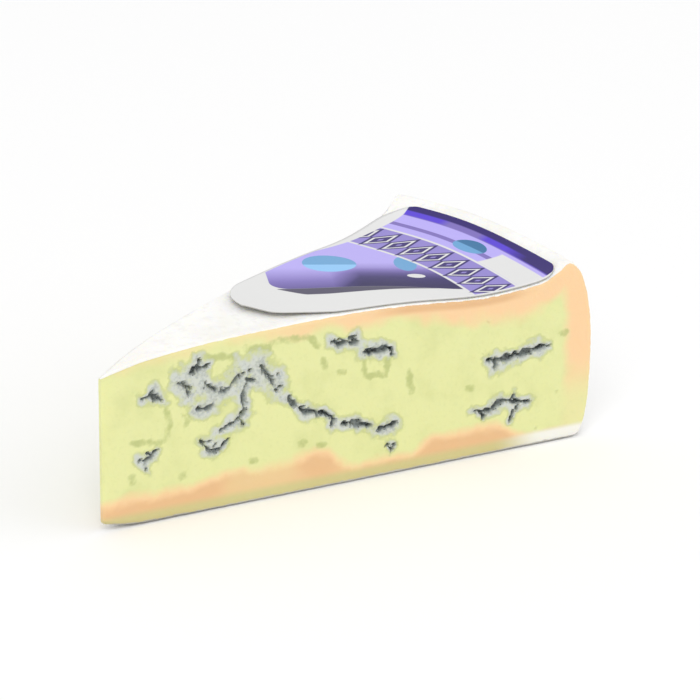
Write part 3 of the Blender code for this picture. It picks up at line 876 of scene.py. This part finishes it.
def labelPaperMaterial():
    # Coated label paper, offset printed and varnished: flat, clean colours under a soft sheen.
    # The attribute ring holds distances from the axis and along the arc from the near and the
    # far cut; the attribute plan holds places along and over the picture's lower edge.
    material, tree, shader = newMaterial("varnishedLabelPaper")
    add = partial(addNode, tree)
    look = labelLook
    ring, plan = (
        add("ShaderNodeSeparateXYZ", [
            add("ShaderNodeAttribute", attribute_name=name, out="Vector"),
        ]).node.outputs
        for name in ("ring", "plan")
    )
    read = {
        "fromAxis": ring[0], "fromNear": ring[1], "fromFar": ring[2],
        "across": plan[0], "over": plan[1],
    }

    # the picture deepens downwards and towards its near corner, over a wedge-shaped line
    low = add(mapRange, [read["over"], 14.0, 0.0, 0.0, 0.6])
    lowRight = add(mapRange, [read["over"], 18.0, 9.5, 0.0, 0.48])
    right = add(mapRange, [read["across"], 60.0, 67.0])
    read["deepening"] = add(maths, [lowRight, right, low], operation="MULTIPLY_ADD")
    for name, bare, full, least, most in (
        ("lineLeft", 46.0, 53.0, 0.0, 4.4), ("lineRight", 58.0, 85.0, 4.4, 0.0),
    ):
        read[name] = add(mapRange, [read["across"], bare, full, least, most])
    line = add(maths, [read["lineLeft"], read["lineRight"], 2.0], operation="SMOOTH_MIN")
    read["line"] = add(maths, [read["over"], line], operation="ADD")
    # the far margin widens outwards
    widening = add(mapRange, [read["fromAxis"], 86.0, 118.0, 0.0, 4.6])
    read["farMargin"] = add(maths, [read["fromFar"], widening], operation="SUBTRACT")
    # plain ovals, and the picture's rounded left corner, as squared distances
    for name, middle, halves in look["ovals"]:
        squares = []
        for (key, centre), half in zip(middle.items(), halves):
            offset = add(maths, [read[key], 1 / half, -centre / half], operation="MULTIPLY_ADD")
            if name == "corner":
                offset = add(maths, [offset, 0.0], operation="MINIMUM")
            squares.append(add(maths, [offset, offset], operation="MULTIPLY"))
        read[name] = add(maths, squares, operation="ADD")
    # a row of lozenges along the band
    step = add(maths, [read["fromNear"], look["lozengePitch"]], operation="DIVIDE")
    step = add(maths, [add(maths, [step], operation="FRACT"), 0.5], operation="SUBTRACT")
    aside = add(maths, [step], operation="ABSOLUTE")
    outward = add(maths, [read["fromAxis"], look["lozengeRing"]], operation="SUBTRACT")
    outward = add(maths, [outward], operation="ABSOLUTE")
    outward = add(maths, [outward, look["lozengeHalfTall"]], operation="DIVIDE")
    slope = look["lozengePitch"] / look["lozengeHalfWide"]
    read["lozenge"] = add(maths, [aside, slope, outward], operation="MULTIPLY_ADD")

    colour = linear(look["lavender"])
    for tone, *edges in look["inks"]:
        strength = 1.0
        for key, bare, full in edges:
            edge = add(mapRange, [read[key], bare, full])
            strength = add(maths, [strength, edge], operation="MULTIPLY")
        colour = add(mix, {0: strength, 6: colour, 7: linear(look[tone])}, out=2,
                     data_type="RGBA")
    tree.links.new(colour, shader.inputs["Base Color"])

    # damp has cockled the paper a little, in waves some 8 mm long
    objectPlace = add("ShaderNodeTexCoord", out="Object")
    place = add("ShaderNodeVectorMath", {0: objectPlace, "Scale": 1 / metre}, operation="SCALE")
    cockle = add(noise, {"Vector": place, "Scale": 0.12, "Detail": 2.0})
    bump = add("ShaderNodeBump", {"Strength": 0.3, "Distance": 0.0004, "Height": cockle})
    tree.links.new(bump, shader.inputs["Normal"])
    shader.inputs["Roughness"].default_value = 0.42
    shader.inputs["Specular IOR Level"].default_value = 0.35
    return material


def shadedPaperEdgeMaterial():
    # The uncoated back and the cut edge of the label: matt fibre some 0.1 mm long, its off-white
    # painted down to grey as painted shadow along the label's edge.
    material, tree, shader = newMaterial("uncoatedPaperShadedEdge")
    add = partial(addNode, tree)
    objectPlace = add("ShaderNodeTexCoord", out="Object")
    fibre = add(noise, {"Vector": objectPlace, "Scale": 4 / metre, "Detail": 2.0})
    bump = add("ShaderNodeBump", {"Strength": 0.4, "Distance": 0.00005, "Height": fibre})
    tree.links.new(bump, shader.inputs["Normal"])
    shader.inputs["Base Color"].default_value = linear(labelLook["edge"])
    shader.inputs["Roughness"].default_value = 0.9
    return material


def makeLabel():
    look = labelLook
    columns, rows = look["cells"]
    inner, outer = look["innerRadius"], look["outerRadius"]
    slant = math.radians(look["printSlant"])
    shape = bmesh.new()
    bmesh.ops.create_grid(shape, x_segments=columns, y_segments=rows, size=1)
    rings, plans = [], []
    for vert in shape.verts:
        share = (1 - math.cos(math.pi * (vert.co.x + 1) / 2)) / 2
        radius = inner + (outer - inner) * share
        near, far = labelEdge(radius, -1), labelEdge(radius, 1)
        turn = near + (far - near) * (vert.co.y + 1) / 2
        x, y = radius * math.cos(turn), radius * math.sin(turn)
        lift = max((look["liftFrom"] - radius) / (look["liftFrom"] - inner), 0)
        height = along(wheel["topLine"], radius) + rindWave(x, y)
        height += look["gap"] + look["noseLift"] * lift ** look["liftPower"]
        rings.append((radius, radius * (halfAngle + turn), radius * (halfAngle - turn)))
        fromCut = halfAngle + turn + slant
        over = radius * math.sin(fromCut) - look["printStart"]
        plans.append((radius * math.cos(fromCut), over, 0))
        vert.co = (x + axisX, y, height)
    bmesh.ops.scale(shape, vec=(metre, metre, metre), verts=shape.verts)
    mesh = bpy.data.meshes.new("paperLabel")
    shape.to_mesh(mesh)
    shape.free()
    for name, values in (("ring", rings), ("plan", plans)):
        flat = [number for value in values for number in value]
        mesh.attributes.new(name, "FLOAT_VECTOR", "POINT").data.foreach_set("vector", flat)
    mesh.materials.append(labelPaperMaterial())
    mesh.materials.append(shadedPaperEdgeMaterial())
    label = bpy.data.objects.new("paperLabel", mesh)
    bpy.context.scene.collection.objects.link(label)
    solid = label.modifiers.new("paper", "SOLIDIFY")
    solid.thickness = look["thickness"] * metre
    solid.offset = 1
    solid.material_offset = solid.material_offset_rim = 1
    mesh.shade_smooth()
    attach(label, "root")
    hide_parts("paper_label")
    print("label:", len(mesh.polygons), "cells")


# camera, floor and light
view = {
    "azimuth": -41.44, "elevation": 22.72, "roll": 0.43,  # degrees
    "aim": (0.0082, -0.0035, 0.0267), "distance": 1.042, "lens": 226.7, "sensor": 36.0,
}
studio = {
    "sky": 0.765,
    "lamps": {  # place, size in metres and watts
        "key": ((-2.7, -2.4, 3.9), 3.0, 90),
        "fill": ((2.6, -3.1, 2.2), 4.2, 29),
    },
    "board": "#FDFDFD",
}


def addCamera():
    camera = bpy.data.objects.new("camera", bpy.data.cameras.new("camera"))
    bpy.context.scene.collection.objects.link(camera)
    bpy.context.scene.camera = camera
    camera.data.lens = view["lens"]
    camera.data.sensor_width = view["sensor"]
    camera.data.clip_start = 0.01
    turn = Matrix.Rotation(math.radians(view["azimuth"]), 4, "Z")
    tip = Matrix.Rotation(math.radians(90 - view["elevation"]), 4, "X")
    roll = Matrix.Rotation(math.radians(view["roll"]), 4, "Z")
    back = Matrix.Translation((0, 0, view["distance"]))
    camera.matrix_world = Matrix.Translation(view["aim"]) @ turn @ tip @ back @ roll


def addFloor():
    material, tree, shader = newMaterial("matteWhiteBoard")  # even and pale, no gloss
    shader.inputs["Base Color"].default_value = linear(studio["board"])
    shader.inputs["Roughness"].default_value = 0.9
    shape = bmesh.new()
    bmesh.ops.create_grid(shape, x_segments=1, y_segments=1, size=4)
    mesh = bpy.data.meshes.new("floor")
    shape.to_mesh(mesh)
    shape.free()
    mesh.transform(Matrix.Translation((0, 0, -0.0002)))
    mesh.materials.append(material)
    floor = bpy.data.objects.new("floor", mesh)
    bpy.context.scene.collection.objects.link(floor)


def lightScene():
    scene = bpy.context.scene
    scene.world = bpy.data.worlds.new("studio")
    scene.world.use_nodes = True
    sky = scene.world.node_tree.nodes["Background"].inputs
    sky["Color"].default_value = (1, 1, 1, 1)
    sky["Strength"].default_value = studio["sky"]
    for name, (place, size, watts) in studio["lamps"].items():
        lamp = bpy.data.lights.new(name, "AREA")
        lamp.size = size
        lamp.energy = watts
        light = bpy.data.objects.new(name, lamp)
        scene.collection.objects.link(light)
        facing = (Vector(place) - Vector(view["aim"])).to_track_quat("Z", "Y")
        light.matrix_world = Matrix.Translation(place) @ facing.to_matrix().to_4x4()
    scene.view_settings.view_transform = "Standard"


addCamera()
addFloor()
lightScene()
print("camera, floor and lights set")
makeTufts(makeCheese())
makeLabel()
